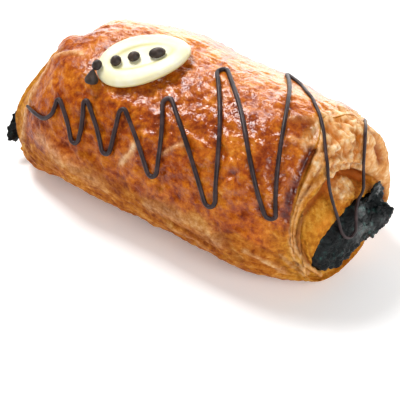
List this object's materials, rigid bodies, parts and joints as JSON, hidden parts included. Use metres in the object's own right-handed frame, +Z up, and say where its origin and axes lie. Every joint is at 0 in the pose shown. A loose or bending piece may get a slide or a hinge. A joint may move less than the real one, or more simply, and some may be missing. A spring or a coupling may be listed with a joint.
{
  "type": "pain au chocolat",
  "caption": "Baked roll of flaky laminated dough round a dark filling that shows at both ends, with a white chocolate plaque, chocolate chips and a piped dark chocolate zigzag on top",
  "frame": {"origin": "centre of the flat base the roll rests on, at the bottom centre of the bounding box", "axes": "+X along the roll to the end with the open wraps, +Y to the back, +Z up; the glazed front with the zigzag faces -Y"},
  "size_m": [0.133, 0.065, 0.0588],
  "materials": {
    "crust": "glazed golden brown crust",
    "filling": "moist dark crumb",
    "white_chocolate": "satin",
    "dark_chocolate": "satin"
  },
  "bodies": {
    "root": {"dough": "crust", "filling": "filling", "white_plaque": "white_chocolate", "chip_1": "dark_chocolate", "chip_2": "dark_chocolate", "chip_3": "dark_chocolate", "chip_4": "dark_chocolate", "chip_5": "dark_chocolate"}
  },
  "joints": []
}
